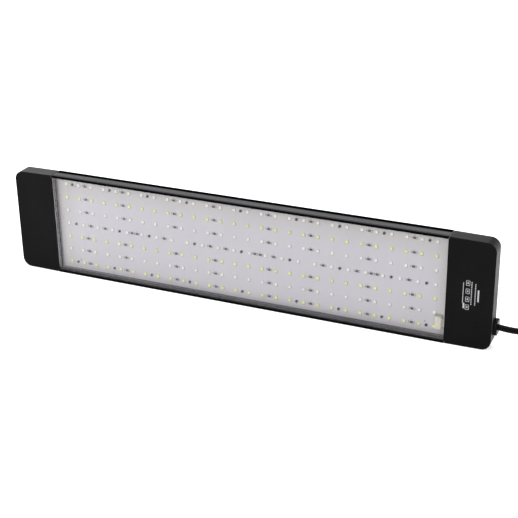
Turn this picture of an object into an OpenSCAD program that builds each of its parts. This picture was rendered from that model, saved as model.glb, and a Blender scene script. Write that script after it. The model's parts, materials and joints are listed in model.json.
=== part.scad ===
// LED aquarium light: black aluminium profile, two plastic end caps, clear front cover.
// It stands on its long edge: +X along the light towards the lead, -Y is the lit face, +Z up.
// Lengths in mm.  "depth" below is the distance behind the lit face.

/* [Body] */
// Length over the end caps
fixture_l = 600; // [590:1:640]
// Width of the light, which is its height as it stands
fixture_h = 128; // [125:1:132]
// Thickness, front to back
fixture_t = 19.5; // [19.5:0.5:21]

/* [End caps] */
// Length of an end cap
cap_l = 51.5; // [51:0.5:54]
// Radius of the outer corners
cap_r = 11; // [8:1:13]
// Wall thickness
cap_wall = 2; // [1.8:0.1:2.2]

/* [Light board] */
// Number of lamps in a full row
lamps_per_row = 28; // [28:1:28]
// Number of lamps in the middle row
lamps_mid_row = 24; // [24:1:24]
// Depth of the board's face behind the lit face
board_depth = 11.5; // [11.3:0.1:11.5]

/* [Lead] */
// Diameter of the mains lead
cord_d = 7; // [6.6:0.1:7]
// Length of the straight runs of the folded lead
hank_run = 135; // [130:1:140]

/* [Hidden] */
$fn = 32;
gap = 0.1;                                  // clearance of a loose fit

// profile section, as depth and height
lip_t = 1.5;  lip_h = 2.8;                  // lip that holds the cover
slot_end = 4.6;  skin_h = 1.1;              // cover slot
wall_h = 2.4;                               // side wall behind the slot
board_t = 1.6;  pad_t = 0.3;
web_front = board_depth + board_t + pad_t;  // the board seat
web_t = 2.2;
groove_w = 5;  groove_h = 3.4;              // bracket groove
floor_t = 1.4;  rear_fin = 1.1;
fin_t = 1.4;  fin_step = 8.4;  fin_n = 14;      // cooling fins, spread about mid height
rib_n = 8;  rib_pitch = 1;  rib_w = 0.5;  rib_h = 0.45;  rib_start = 4.7;
port_depth = 15.4;  port_r = 2.9;  pilot_r = 1.25;
port_z = [for (k = [-4.5, -1.5, 1.5, 4.5]) fixture_h / 2 + k * fin_step];

// stations along the light
seam_x = fixture_l / 2 - cap_l;             // mounting face of an end cap
gasket_t = 0.8;
profile_x = seam_x - gasket_t;              // half length of the profile
cover_x = profile_x - gap;
board_x = profile_x - 0.7;
cap_lip = 1.1;                              // the cap's lip over the cover

// board and lamps
board_z0 = 4;  board_z1 = fixture_h - 3.6;
lamp_w = 2.8;  lamp_h = 3.5;  lamp_t = 0.7;  lens_t = 0.25;  lamp_rim = 0.3;
lamp_span = fixture_l - 132.9;              // first column to last
lamp_x0 = -lamp_span / 2 - 0.8;
row_pitch = (fixture_h - 25.4) / 6;
lamp_z0 = fixture_h / 2 + 3 * row_pitch;    // top row
col_pitch = lamp_span / (lamps_per_row - 1);
mid_pitch = lamp_span / (lamps_mid_row - 1);
white_rows = [0, 2, 5];
yellow_rows = [1, 4, 6];
chip_rows = [0, 1, 2, 4, 5, 6];
chip_cols = [for (k = [0 : 3]) for (c = [1.5, 4.5]) 7 * k + c];
mid_chips = [1.5, 2.5, 4.33, 4.67, 6.5, 9.5, 10.5, 12.33, 12.67, 13.5, 16.5, 18.5, 19.33, 19.67, 21.5];
screw_cols = [0.5, 3.5, 6.5, 9.5, 13.5, 17.5, 20.5, 23.5, 26.5];
mid_screws = [0.5, 3.5, 5.5, 8.5, 11.5, 14.5, 17.5, 20.5, 22.5];
screw_at = concat(
    [for (r = [0, 6]) for (c = screw_cols) [lamp_x0 + c * col_pitch, lamp_z0 - r * row_pitch]],
    [for (c = mid_screws) [lamp_x0 + c * mid_pitch, lamp_z0 - 3 * row_pitch]]);
pan_r = 2.6;  pan_h = 1.5;  shank_r = 1.2;     // larger screws
board_pan_r = 1.6;  board_shank_r = 0.95;  board_pilot_r = 1;

// wafer connector at the lead end of the board
wafer_x = seam_x - 13.8;  wafer_w = 7.1;  wafer_z = 12.4;  wafer_h = 15;  wafer_t = 5;
wire_pitch = 2.5;  wire_r = 0.6;
wire_z = [for (i = [0 : 3]) wafer_z + wafer_h / 2 + (i - 1.5) * wire_pitch];

// end caps
split = fixture_t / 2 + 0.5;                // depth of the joint between front shell and rear shell
cap_skin = 1.8;                             // front and rear face thickness
cap_seam_z = 0.05;  cap_end_z = 0.7;          // the long edges close in by this much
cap_screw_at = [[seam_x + 9, 9.5], [seam_x + 9, fixture_h - 9.5],
                [fixture_l / 2 - 10.5, 12], [fixture_l / 2 - 10.5, fixture_h - 12]];
boss_r = 3.2;
mid_d = fixture_t / 2;                      // depth of the middle plane

// lead entry
gland_z = 26.5;
end_x = fixture_l / 2;
gland_len = 5;  gland_w = 12.8;  gland_h = 17.2;  gland_round = 2.6;  neck_r = 5.7;
cord_r = cord_d / 2;
jacket_x = end_x - 16;                      // where the inner end of the sheath stops
clamp_x = end_x - 15;  clamp_w = 7;  clamp_pitch = 17;

// driver
driver_x = end_x - 46.5;  driver_w = 41;  driver_z = 42;  driver_h = 69;
driver_d = 12.6;  driver_t = 1.6;           // component side and thickness of its board
driver_hole = 3.5;                          // holes this far in from the board's corners
driver_holes = [for (x = [driver_hole, driver_w - driver_hole])
                for (z = [driver_hole, driver_h - driver_hole]) [driver_x + x, driver_z + z]];
term_x = end_x - 28.5;  term_w = 10;  term_h = 9;  term_t = 9;
out_x = end_x - 39.8;  out_w = 10;  out_h = 7;  out_t = 6;

// free lead: gland to the folded hank, then from the hank to the plug
lead_in = [[end_x + 5, 0, 26.5], [end_x + 12, 0, 25.8], [end_x + 20, 0.4, 25.2], [end_x + 28, 1.2, 25.0],
    [end_x + 36, 2.2, 24.4], [end_x + 44, 2.6, 22.4], [end_x + 52, 2.4, 19.2], [end_x + 60, 1.5, 15.2],
    [end_x + 68, 0.4, 11.4], [end_x + 76, -0.8, 8], [end_x + 84, -1.8, 5.4], [end_x + 92, -2.4, 3.9],
    [end_x + 100, -2.5, 3.5]];
lead_out = [[end_x + 234, 34.9, 13.1], [end_x + 229, 31, 11.8], [end_x + 222, 26, 10],
    [end_x + 215, 22.7, 8.5], [end_x + 207, 20.6, 7.3], [end_x + 199.5, 20, 6.8]];
hank_x = end_x + 124;  hank_y = 20;         // start of the straight runs, and the hank's middle line
hank_in = 19;  hank_out = 28;  hank_h = 20.4;
tie_w = 8;  tie_t = 0.8;  tie_x = hank_x + 40;
plug_x = end_x + 199.5;  relief_l = 22;  plug_l = 36;  pin_l = 19;
plug_t = 13.6;  plug_z = plug_t / 2;  pin_r = 2;  pin_gap = 18.6;

// ---------- helpers ----------

// the parts are drawn with depth 0 on the lit face, then centred on the thickness
module centred() translate([0, -fixture_t / 2, 0]) children();

// a section drawn as depth and height, run along the light
module along(x0, x1) translate([x0, 0, 0]) rotate([90, 0, 90]) linear_extrude(x1 - x0) children();

// an outline drawn as length and height, run through the thickness
module through(d0, d1) translate([0, d1, 0]) rotate([90, 0, 0]) linear_extrude(d1 - d0) children();

module block(x0, x1, d0, d1, z0, z1) translate([x0, d0, z0]) cube([x1 - x0, d1 - d0, z1 - z0]);

// a round bar pointing along the thickness, from depth d0 to d1
module rod(x, z, d0, d1, r) translate([x, d0, z]) rotate([-90, 0, 0]) cylinder(r = r, h = d1 - d0);

// a round bar along the light
module bar(x0, x1, d, z, r) translate([x0, d, z]) rotate([0, 90, 0]) cylinder(r = r, h = x1 - x0);

// pan head screw with a cross recess: head stands on depth d and points to the lit face
module pan_screw(d, length, head_r = pan_r, r = shank_r) translate([0, d - pan_h, 0]) difference() {
    rotate([-90, 0, 0]) union() {
        cylinder(r = head_r, h = pan_h);
        translate([0, 0, pan_h - 0.01]) cylinder(r = r, h = length + 0.01);
    }
    for (a = [0, 90]) rotate([0, a, 0])
        translate([-0.58 * head_r, -0.1, -0.3]) cube([1.16 * head_r, 0.9, 0.6]);
}

function unit(v) = v / norm(v);
function tangent(p, i) = unit(p[min(i + 1, len(p) - 1)] - p[max(i - 1, 0)]);
function ring(p, i, r, n, up) =
    let (t = tangent(p, i), u = unit(cross(t, up)), v = cross(u, t))
    [for (k = [0 : n - 1]) p[i] + r * (cos(360 * k / n) * u + sin(360 * k / n) * v)];

// a tube swept along points, with n sides
module tube(p, r, n, up = [0, 0, 1]) {
    m = len(p);
    polyhedron(
        points = [for (i = [0 : m - 1]) each ring(p, i, r, n, up)],
        faces = concat(
            [[for (k = [0 : n - 1]) k]],
            [for (i = [0 : m - 2]) for (k = [0 : n - 1])
                [i * n + k, (i + 1) * n + k, (i + 1) * n + (k + 1) % n, i * n + (k + 1) % n]],
            [[for (k = [n - 1 : -1 : 0]) (m - 1) * n + k]]));
}

module at_lamps(rows, mid) {
    for (r = rows) for (c = [0 : lamps_per_row - 1])
        translate([lamp_x0 + c * col_pitch, 0, lamp_z0 - r * row_pitch]) children();
    if (mid) for (c = [0 : lamps_mid_row - 1])
        translate([lamp_x0 + c * mid_pitch, 0, lamp_z0 - 3 * row_pitch]) children();
}

// ---------- profile, cover and board ----------

module half_section() {
    difference() {
        union() {
            square([lip_t, lip_h]);
            square([slot_end, skin_h]);
            translate([slot_end, 0]) square([web_front - slot_end, wall_h]);
            translate([web_front - floor_t, 0]) square([floor_t, groove_h + 0.4]);
            translate([web_front, groove_h]) square([fixture_t - web_front, floor_t]);
            translate([web_front + groove_w, 0])
                square([fixture_t - web_front - groove_w, groove_h + floor_t]);
            translate([web_front, groove_h]) square([web_t, fixture_h / 2 - groove_h + 1]);
        }
        for (i = [0 : rib_n - 1]) translate([rib_start + i * rib_pitch, -0.1]) square([rib_w, rib_h + 0.1]);
    }
}

module profile_section() {
    back = web_front + web_t;
    difference() {
        union() {
            half_section();
            translate([0, fixture_h]) mirror([0, 1]) half_section();
            for (i = [0 : fin_n - 1])
                translate([back - 0.5, fixture_h / 2 + (i - (fin_n - 1) / 2) * fin_step - fin_t / 2])
                    square([fixture_t - back + 0.5, fin_t]);
            for (z = port_z) intersection() {
                translate([port_depth, z]) circle(port_r);
                translate([web_front, z - port_r]) square([port_r * 2, port_r * 2]);
            }
        }
        for (z = port_z) translate([port_depth, z]) circle(pilot_r);
    }
}

module housing_profile() color("#242426") centred() difference() {
    along(-profile_x, profile_x) profile_section();
    for (p = screw_at) rod(p[0], p[1], web_front - 1, web_front + web_t + 1, board_pilot_r);
}

module front_cover() color("#dfe6ea", 0.3) centred()
    block(-cover_x, cover_x, lip_t + gap, slot_end - gap, 1.8, fixture_h - 1.8);

module cover_seals() color("#1b1b1c") centred() for (z = [skin_h, fixture_h - 1.8])
    block(-cover_x, cover_x, lip_t + gap, slot_end - gap, z, z + 0.7);

module board_sheet(d0, d1, edge, hole_r) difference() {
    block(-board_x + edge, board_x - edge, d0, d1, board_z0 + edge, board_z1 - edge);
    for (p = screw_at) rod(p[0], p[1], d0 - 1, d1 + 1, hole_r);
}

module light_board() color("#c9c8cc") centred()
    board_sheet(board_depth, board_depth + board_t, 0, board_shank_r + 0.25);

module thermal_pad() color("#8f9aa3") centred() board_sheet(board_depth + board_t, web_front, 1, 1.6);

module lamp_body() difference() {
    block(-lamp_w / 2, lamp_w / 2, board_depth - lamp_t, board_depth, -lamp_h / 2, lamp_h / 2);
    block(-lamp_w / 2 + lamp_rim, lamp_w / 2 - lamp_rim, board_depth - lamp_t - 1,
          board_depth - lamp_t + lens_t, -lamp_h / 2 + lamp_rim, lamp_h / 2 - lamp_rim);
}

module lamp_lens()
    block(-lamp_w / 2 + lamp_rim, lamp_w / 2 - lamp_rim, board_depth - lamp_t,
          board_depth - lamp_t + lens_t, -lamp_h / 2 + lamp_rim, lamp_h / 2 - lamp_rim);

module white_lamps() color("#efeee8") centred() at_lamps(white_rows, true) lamp_body();
module white_lenses() color("#f6f3e4") centred() at_lamps(white_rows, true) lamp_lens();
module yellow_lamps() color("#ecead2") centred() at_lamps(yellow_rows, false) lamp_body();
module yellow_lenses() color("#dde27a") centred() at_lamps(yellow_rows, false) lamp_lens();

module chip_resistors() color("#2b2a26") centred() {
    for (r = chip_rows) for (c = chip_cols) translate([lamp_x0 + c * col_pitch, 0, lamp_z0 - r * row_pitch])
        block(-1.6, 1.6, board_depth - 0.6, board_depth, -0.8, 0.8);
    for (c = mid_chips) translate([lamp_x0 + c * mid_pitch, 0, lamp_z0 - 3 * row_pitch])
        block(-1.6, 1.6, board_depth - 0.6, board_depth, -0.8, 0.8);
}

module board_screws() color("#55534e") centred()
    for (p = screw_at) translate([p[0], 0, p[1]])
        pan_screw(board_depth, board_t + pad_t + web_t + 0.8, board_pan_r, board_shank_r);

// ---------- wiring from the board ----------

module wafer_connector() color("#ded9bf") centred() difference() {
    block(wafer_x, wafer_x + wafer_w, board_depth - wafer_t, board_depth, wafer_z, wafer_z + wafer_h);
    block(wafer_x + 2, wafer_x + wafer_w + 1, board_depth - wafer_t + 0.8, board_depth - 0.8,
          wafer_z + 1, wafer_z + wafer_h - 1);
}

module wafer_pins() color("#b9b7ae") centred() for (z = wire_z)
    block(wafer_x - 1.6, wafer_x, board_depth - 0.4, board_depth, z - 0.35, z + 0.35);

module wire_plug() color("#e8e4d2") centred() difference() {
    block(wafer_x + 2 + gap, wafer_x + wafer_w + 0.8, board_depth - wafer_t + 0.9, board_depth - 0.9,
          wafer_z + 1 + gap, wafer_z + wafer_h - 1 - gap);
    for (z = wire_z)
        bar(wafer_x + wafer_w - 2.2, wafer_x + wafer_w + 1, board_depth - wafer_t / 2, z, wire_r + gap);
}

module lamp_wires() color("#f2f0e9") centred() for (i = [0 : 3]) {
    x = out_x + 8.9 - 2.6 * i;
    z = wire_z[i];
    tube([[wafer_x + wafer_w - 2, board_depth - wafer_t / 2, z], [seam_x + 0.5, 8.2, z],
          [x - 4, 8.4, z + 0.4], [x - 1.2, 8.8, z + 1.6], [x, 9.4, z + 4.5],
          [x, 9.6, driver_z - 2], [x, 9.6, driver_z + 4]],
         wire_r, 8, [0, 1, 0]);
}

// ---------- end caps, drawn for the lead end ----------

// outline of the cap, closed in by inset, starting at x0; real arcs at the outer corners
module cap_outline(inset, x0) {
    s = (cap_end_z - cap_seam_z) / cap_l;
    k = sqrt(1 + s * s);
    r = cap_r - inset;
    cx = end_x - cap_r;
    cz = cap_end_z - s * cap_r + cap_r * k;
    z0 = cap_end_z + s * (x0 - end_x) + inset * k;
    foot = [cx + r * s / k, cz - r / k];
    polygon([[x0, z0], foot, [cx, cz], [end_x - inset, cz], [end_x - inset, fixture_h - cz],
             [cx, fixture_h - cz], [foot[0], fixture_h - foot[1]], [x0, fixture_h - z0]]);
    translate([cx, cz]) circle(r, $fn = 96);
    translate([cx, fixture_h - cz]) circle(r, $fn = 96);
}

module cap_front_shell() difference() {
    union() {
        difference() {
            through(0, split) cap_outline(0, seam_x);
            through(cap_skin, split + 1) cap_outline(cap_wall, seam_x + cap_wall);
        }
        block(seam_x - cap_lip, seam_x + 0.5, 0, lip_t, lip_h + 0.2, fixture_h - lip_h - 0.2);
        for (p = cap_screw_at) rod(p[0], p[1], cap_skin - 0.1, split, boss_r);
    }
    for (p = cap_screw_at) rod(p[0], p[1], 3, split + 1, pilot_r);
}

module cap_rear_shell() difference() {
    union() {
        difference() {
            through(split, fixture_t) cap_outline(0, seam_x);
            through(split - 1, fixture_t - cap_skin) cap_outline(cap_wall, seam_x + cap_wall);
        }
        for (p = cap_screw_at) rod(p[0], p[1], split, fixture_t - cap_skin + 0.1, boss_r);
    }
    for (p = cap_screw_at) {
        rod(p[0], p[1], split - 1, fixture_t + 1, 1.6);
        rod(p[0], p[1], fixture_t - 1.9, fixture_t + 1, pan_r + 0.3);
    }
    for (z = port_z) bar(seam_x - 1, seam_x + cap_wall + 1, port_depth, z, 1.6);
    block(end_x - 1, end_x + 1, split - 0.1, split + 1.3, fixture_h / 2 - 1.5, fixture_h / 2 + 1.5);
}

module gland_bore() bar(end_x - cap_wall - 1, end_x + 1, mid_d, gland_z, neck_r + gap);

module mirrored() mirror([1, 0, 0]) children();

module right_cap_front() color("#1c1b1b") centred() difference() {
    cap_front_shell();
    gland_bore();
    block(seam_x - 0.5, seam_x + cap_wall + 0.5, 5, split + 1, 13, 28);
}

// where the two clamp screws stand, either side of the lead
module at_clamp_screws() for (s = [-1, 1])
    translate([clamp_x + clamp_w / 2, 0, gland_z + s * clamp_pitch / 2]) children();

module right_cap_rear() color("#202020") centred() {
    wall = fixture_t - cap_skin + 0.1;
    difference() {
        union() {
            cap_rear_shell();
            for (p = driver_holes) rod(p[0], p[1], driver_d + driver_t, wall, 3);
            at_clamp_screws() rod(0, 0, split, wall, 2.8);
            block(clamp_x, clamp_x + clamp_w, mid_d + cord_r, wall, gland_z - 3, gland_z + 3);
        }
        gland_bore();
        for (p = driver_holes) rod(p[0], p[1], driver_d, fixture_t - 0.9, pilot_r);
        at_clamp_screws() rod(0, 0, split - 1, fixture_t - 1.5, pilot_r);
    }
}

module left_cap_front() color("#1e1e20") centred() mirrored() difference() {
    cap_front_shell();
    rod(end_x - 30.3, 44, -1, 0.7, 0.6);
}

module left_cap_rear() color("#202020") centred() mirrored() cap_rear_shell();

module cap_gasket() difference() {
    block(seam_x - gasket_t, seam_x, 0.3, fixture_t - 0.4, 0.5, fixture_h - 0.5);
    block(seam_x - 2, seam_x + 1, -1, lip_t + gap, lip_h, fixture_h - lip_h);
    block(seam_x - 2, seam_x + 1, 8.4, 11.2, 7, fixture_h - 7);
    for (z = port_z) bar(seam_x - 2, seam_x + 1, port_depth, z, 1.6);
}

module left_gasket() color("#55575a") centred() mirrored() cap_gasket();

module right_gasket() color("#55575a") centred() difference() {
    cap_gasket();
    block(seam_x - 2, seam_x + 1, 6, 10, 13, 28);
}

module port_screws() for (z = port_z) translate([seam_x + cap_wall, port_depth, z]) difference() {
    union() {
        rotate([0, 90, 0]) cylinder(r = 2.2, h = 1.6);
        translate([-10, 0, 0]) rotate([0, 90, 0]) cylinder(r = shank_r, h = 10.01);
    }
    for (a = [0, 90]) rotate([a, 0, 0]) translate([0.8, -1.3, -0.25]) cube([1, 2.6, 0.5]);
}

module right_port_screws() color("#8a8a8c") centred() port_screws();
module left_port_screws() color("#8a8a8c") centred() mirrored() port_screws();

// long screws driven from behind into the front shell
module cap_screws() for (p = cap_screw_at) translate([p[0], fixture_t - 1.9, p[1]])
    rotate([0, 0, 180]) pan_screw(0, fixture_t - 6);

module right_cap_screws() color("#3b3b3d") centred() cap_screws();
module left_cap_screws() color("#3b3b3d") centred() mirrored() cap_screws();

// ---------- driver in the lead-end cap ----------

module driver_board() color("#b5793a") centred() difference() {
    block(driver_x, driver_x + driver_w, driver_d, driver_d + driver_t, driver_z, driver_z + driver_h);
    for (p = driver_holes) rod(p[0], p[1], driver_d - 1, driver_d + driver_t + 1, 1.6);
}

module driver_screws() color("#8a8a8c") centred()
    for (p = driver_holes) translate([p[0], 0, p[1]]) pan_screw(driver_d, 4.6);

// winding on its bobbin, through the middle of the ferrite core
module transformer_coil() color("#e2b93a") centred() translate([driver_x + 20, 0, driver_z + 35]) {
    block(-6, 6, 3.6, 11.6, -7, 7);
    block(-8, 8, 11.6, driver_d, -8, 8);
}

module transformer_core() color("#3a3b3d") centred()
    translate([driver_x + 20, 0, driver_z + 35]) difference() {
        block(-9, 9, 5, 10.2, -9.5, 9.5);
        block(-6 - gap, 6 + gap, 4, 12, -7 - gap, 7 + gap);
    }

module can_capacitor(r, length) {
    difference() {
        cylinder(r = r, h = length);
        translate([0, 0, length - 2.4]) rotate_extrude() translate([r + 0.2, 0]) circle(0.6);
    }
}

module input_capacitor() color("#20262e") centred()
    translate([driver_x + 8, driver_d - 5.1, driver_z + 45]) can_capacitor(5, 17);

module output_capacitors() color("#27303a") centred() for (x = [14.5, 24])
    translate([driver_x + x, driver_d - 4.1, driver_z + 10.5]) can_capacitor(4, 12);

module filter_choke() color("#7a4a22") centred()
    translate([driver_x + 33.5, driver_d, driver_z + 27]) rotate([90, 0, 0]) union() {
        cylinder(r = 4.5, h = 1);
        cylinder(r = 3.6, h = 8);
        translate([0, 0, 7]) cylinder(r = 4.5, h = 1);
    }

module mains_fuse() color("#6a3b2e") centred() rod(driver_x + 34, driver_z + 40, driver_d - 8, driver_d, 3.6);

module bridge_rectifier() color("#1c1c1d") centred()
    block(driver_x + 16, driver_x + 24.5, driver_d - 3.4, driver_d, driver_z + 51, driver_z + 57.5);

module driver_chip() color("#1c1c1d") centred()
    block(driver_x + 30, driver_x + 34, driver_d - 1.6, driver_d, driver_z + 51, driver_z + 56);

module mains_terminal() color("#2f7a4d") centred() difference() {
    block(term_x, term_x + term_w, driver_d - term_t, driver_d, driver_z + 0.5, driver_z + 0.5 + term_h);
    for (s = [-1, 1]) {
        translate([term_x + term_w / 2 + s * 2.5, driver_d - 3.5, driver_z - 1]) cylinder(r = 1.3, h = 6);
        rod(term_x + term_w / 2 + s * 2.5, driver_z + 6, driver_d - term_t - 1, driver_d - term_t + 2, 1.8);
    }
}

module output_terminal() color("#ebe7db") centred() difference() {
    block(out_x, out_x + out_w, driver_d - out_t, driver_d, driver_z + 0.5, driver_z + 0.5 + out_h);
    for (i = [0 : 3])
        translate([out_x + 8.9 - 2.6 * i, 9.6, driver_z - 1]) cylinder(r = wire_r + gap, h = 5.2);
}

// ---------- lead entry ----------

module gland_body() color("#161617") centred() difference() {
    union() {
        translate([end_x - cap_wall - 4.5, mid_d, gland_z]) rotate([0, 90, 0])
            cylinder(r = 7.6, h = 4.5, $fn = 6);
        bar(end_x - cap_wall - 0.1, end_x + 2, mid_d, gland_z, neck_r);
    }
    bar(end_x - 10, end_x + 5, mid_d, gland_z, cord_r + gap);
}

module gland_cap() color("#121213") centred() difference() {
    translate([end_x, mid_d, gland_z]) rotate([0, 90, 0]) linear_extrude(gland_len) {
        square([gland_h - 2 * gland_round, gland_w], center = true);
        square([gland_h, gland_w - 2 * gland_round], center = true);
        for (sx = [-1, 1]) for (sy = [-1, 1])
            translate([sx * (gland_h / 2 - gland_round), sy * (gland_w / 2 - gland_round)]) circle(gland_round);
    }
    bar(end_x - 1, end_x + 3.3, mid_d, gland_z, neck_r + gap / 2);
    bar(end_x + 3, end_x + 6, mid_d, gland_z, cord_r + gap);
}

module gland_seal() color("#3a3a3b") centred() difference() {
    bar(end_x + 2, end_x + 3.3, mid_d, gland_z, neck_r - 0.2);
    bar(end_x + 1, end_x + 4, mid_d, gland_z, cord_r + gap / 2);
}

module inner_cord() color("#19191a") centred() bar(jacket_x, end_x + gland_len, mid_d, gland_z, cord_r);

// the upper core turns up first, to the nearer hole
module mains_cores() color("#7a5230") centred() for (s = [-1, 1]) {
    x = term_x + term_w / 2 - s * 2.5;
    z = gland_z - s * 1.5;
    tube([[jacket_x, mid_d, z], [x + 2.6, mid_d, z + 0.2], [x + 0.8, mid_d, z + 1.4],
          [x + 0.1, mid_d, z + 3.6], [x, 9.4, z + 7], [x, driver_d - 3.5, driver_z - 2],
          [x, driver_d - 3.5, driver_z + 4]],
         1.1, 8, [0, 1, 0]);
}

module cord_clamp() color("#2a2a2b") centred() difference() {
    block(clamp_x, clamp_x + clamp_w, mid_d - cord_r - 2, split - gap,
          gland_z - clamp_pitch / 2 - 3, gland_z + clamp_pitch / 2 + 3);
    bar(clamp_x - 1, clamp_x + clamp_w + 1, mid_d, gland_z, cord_r);
    block(clamp_x - 1, clamp_x + clamp_w + 1, mid_d, split + 1, gland_z - cord_r, gland_z + cord_r);
    at_clamp_screws() rod(0, 0, 0, split + 1, 1.6);
}

module clamp_screws() color("#8a8a8c") centred()
    at_clamp_screws() pan_screw(mid_d - cord_r - 2, split + cord_r - mid_d + 8);

// ---------- free lead, folded into a hank, and its plug ----------

module power_cord() color("#161617") tube(lead_in, cord_r, 12);

module stadium(r) {
    translate([0, -r]) square([hank_run, 2 * r]);
    circle(r, $fn = 64);
    translate([hank_run, 0]) circle(r, $fn = 64);
}

// a round bar from a to b
module strut(a, b, r) {
    v = b - a;
    translate(a) rotate([0, acos(v[2] / norm(v)), atan2(v[1], v[0])]) cylinder(r = r, h = norm(v));
}

module cord_hank() color("#161617") {
    translate([hank_x, hank_y, 0]) linear_extrude(hank_h) difference() {
        stadium(hank_out);
        stadium(hank_in);
    }
    last = lead_in[len(lead_in) - 1];
    strut(last, [hank_x, last[1], last[2]], cord_r);
    strut(lead_out[0] - 12 * unit(lead_out[1] - lead_out[0]), lead_out[0], cord_r);
}

module cord_tail() color("#161617") tube(lead_out, cord_r, 12);

module cord_ties() color("#1d1d1e") for (s = [-1, 1])
    translate([tie_x, hank_y + s * (hank_in + hank_out) / 2, 0]) difference() {
        half = (hank_out - hank_in) / 2 + gap;
        translate([0, -half - tie_t, 0]) cube([tie_w, 2 * (half + tie_t), hank_h + gap + tie_t]);
        translate([-1, -half, -1]) cube([tie_w + 2, 2 * half, hank_h + gap + 1]);
    }

// the plug lies inside the folded turns and points back to the light
module at_plug() translate([plug_x, hank_y, plug_z]) mirror([1, 0, 0]) children();

module plug_relief() color("#161617") at_plug() difference() {
    rotate([0, 90, 0]) cylinder(r1 = cord_r + 0.9, r2 = 6, h = relief_l);
    for (i = [0 : 4]) for (s = [-1, 1]) translate([3 + 3.6 * i, s * 6.4 - 1.6, -7]) cube([1.4, 3.2, 14]);
}

module plug_body() color("#161617") at_plug() translate([relief_l, 0, -plug_z]) linear_extrude(plug_t)
    polygon([[0, -6.5], [8, -8.5], [22, -17.6], [30, -17.6], [plug_l, -13], [plug_l, 13],
             [30, 17.6], [22, 17.6], [8, 8.5], [0, 6.5]]);

module plug_pins() color("#c9c8c4") at_plug() for (s = [-1, 1])
    translate([relief_l + plug_l, s * pin_gap / 2, 0]) rotate([0, 90, 0]) union() {
        cylinder(r = pin_r, h = pin_l - 1);
        translate([0, 0, pin_l - 1]) cylinder(r = pin_r - 0.5, h = 1);
    }

// ---------- output ----------

housing_profile();
front_cover();
cover_seals();
light_board();
thermal_pad();
white_lamps();
white_lenses();
yellow_lamps();
yellow_lenses();
chip_resistors();
board_screws();
wafer_connector();
wafer_pins();
wire_plug();
lamp_wires();
left_cap_front();
left_cap_rear();
right_cap_front();
right_cap_rear();
left_gasket();
right_gasket();
left_port_screws();
right_port_screws();
left_cap_screws();
right_cap_screws();
driver_board();
driver_screws();
transformer_coil();
transformer_core();
input_capacitor();
output_capacitors();
filter_choke();
mains_fuse();
bridge_rectifier();
driver_chip();
mains_terminal();
output_terminal();
gland_body();
gland_cap();
gland_seal();
inner_cord();
mains_cores();
cord_clamp();
clamp_screws();
power_cord();
cord_hank();
cord_tail();
cord_ties();
plug_relief();
plug_body();
plug_pins();
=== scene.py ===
"""The looks of an LED aquarium light that stands on its long edge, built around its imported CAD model.
+X runs along the light towards the lead, -Y is the lit face, +Z is up. Metres throughout, except where
a comment says mm: mm() turns millimetres into metres."""
import json
import math

import bmesh
import bpy
from mathutils import Matrix, Vector


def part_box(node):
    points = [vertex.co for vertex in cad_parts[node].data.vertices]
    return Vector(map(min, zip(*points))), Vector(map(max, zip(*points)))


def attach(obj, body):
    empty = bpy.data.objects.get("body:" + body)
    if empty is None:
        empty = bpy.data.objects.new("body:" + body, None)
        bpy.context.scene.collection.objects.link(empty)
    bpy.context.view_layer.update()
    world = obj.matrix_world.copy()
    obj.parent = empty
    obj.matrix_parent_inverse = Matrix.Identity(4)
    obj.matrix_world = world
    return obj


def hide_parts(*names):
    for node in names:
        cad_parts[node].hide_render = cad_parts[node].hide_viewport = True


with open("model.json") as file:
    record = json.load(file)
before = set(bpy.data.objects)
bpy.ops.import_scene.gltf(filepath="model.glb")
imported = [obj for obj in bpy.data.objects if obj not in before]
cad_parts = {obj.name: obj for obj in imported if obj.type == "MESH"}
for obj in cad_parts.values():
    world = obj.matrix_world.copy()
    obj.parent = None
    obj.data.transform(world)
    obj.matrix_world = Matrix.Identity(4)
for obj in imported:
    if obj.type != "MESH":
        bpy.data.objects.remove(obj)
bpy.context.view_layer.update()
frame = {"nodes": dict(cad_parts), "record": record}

nodes = frame["nodes"]


def mm(value):
    return value * 0.001


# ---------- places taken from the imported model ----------

body_lo, body_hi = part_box("housing_profile")
board_lo, board_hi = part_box("light_board")
white_lo, white_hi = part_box("white_lamps")
yellow_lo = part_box("yellow_lamps")[0]
tie_lo, tie_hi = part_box("cord_ties")
pin_lo, pin_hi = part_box("plug_pins")
cover_lo, cover_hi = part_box("front_cover")
wafer_lo, wafer_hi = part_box("wafer_connector")
wafer_pin_lo, wafer_pin_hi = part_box("wafer_pins")
gland_lo, gland_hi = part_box("gland_cap")
hank_lo, hank_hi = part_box("cord_hank")
plug_lo, plug_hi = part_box("plug_body")
relief_lo, relief_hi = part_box("plug_relief")

FACE_Y = body_lo.y                        # the lit face
BACK_Y = body_hi.y
TOP_Z = body_hi.z
END_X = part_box("right_cap_front")[1].x    # outer end of the cap with the lead
BOARD_Y = board_lo.y                      # the board's face
SCREW_TOP_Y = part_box("board_screws")[0].y # the faces of the board screws' heads
LAMP_W, LAMP_H, LAMP_T = mm(2.8), mm(3.5), white_hi.y - white_lo.y
COLUMNS, MID_COLUMNS = 28, 24             # lamps in a full row, and in the spaced-out middle row
WHITE_ROWS, MID_ROW, YELLOW_ROWS = (0, 2, 5), 3, (1, 4, 6)
ROWS = 7
FIRST_X = white_lo.x + LAMP_W / 2
LAST_X = white_hi.x - LAMP_W / 2
PITCH_X = (LAST_X - FIRST_X) / (COLUMNS - 1)
MID_PITCH_X = (LAST_X - FIRST_X) / (MID_COLUMNS - 1)
FIRST_Z = white_hi.z - LAMP_H / 2
LAST_Z = yellow_lo.z + LAMP_H / 2
PITCH_Z = (FIRST_Z - LAST_Z) / (ROWS - 1)
RIBS_FRONT = FACE_Y + mm(3.9)             # the band of fine ribs along both long sides
RIBS_BACK = FACE_Y + mm(12.1)
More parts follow.
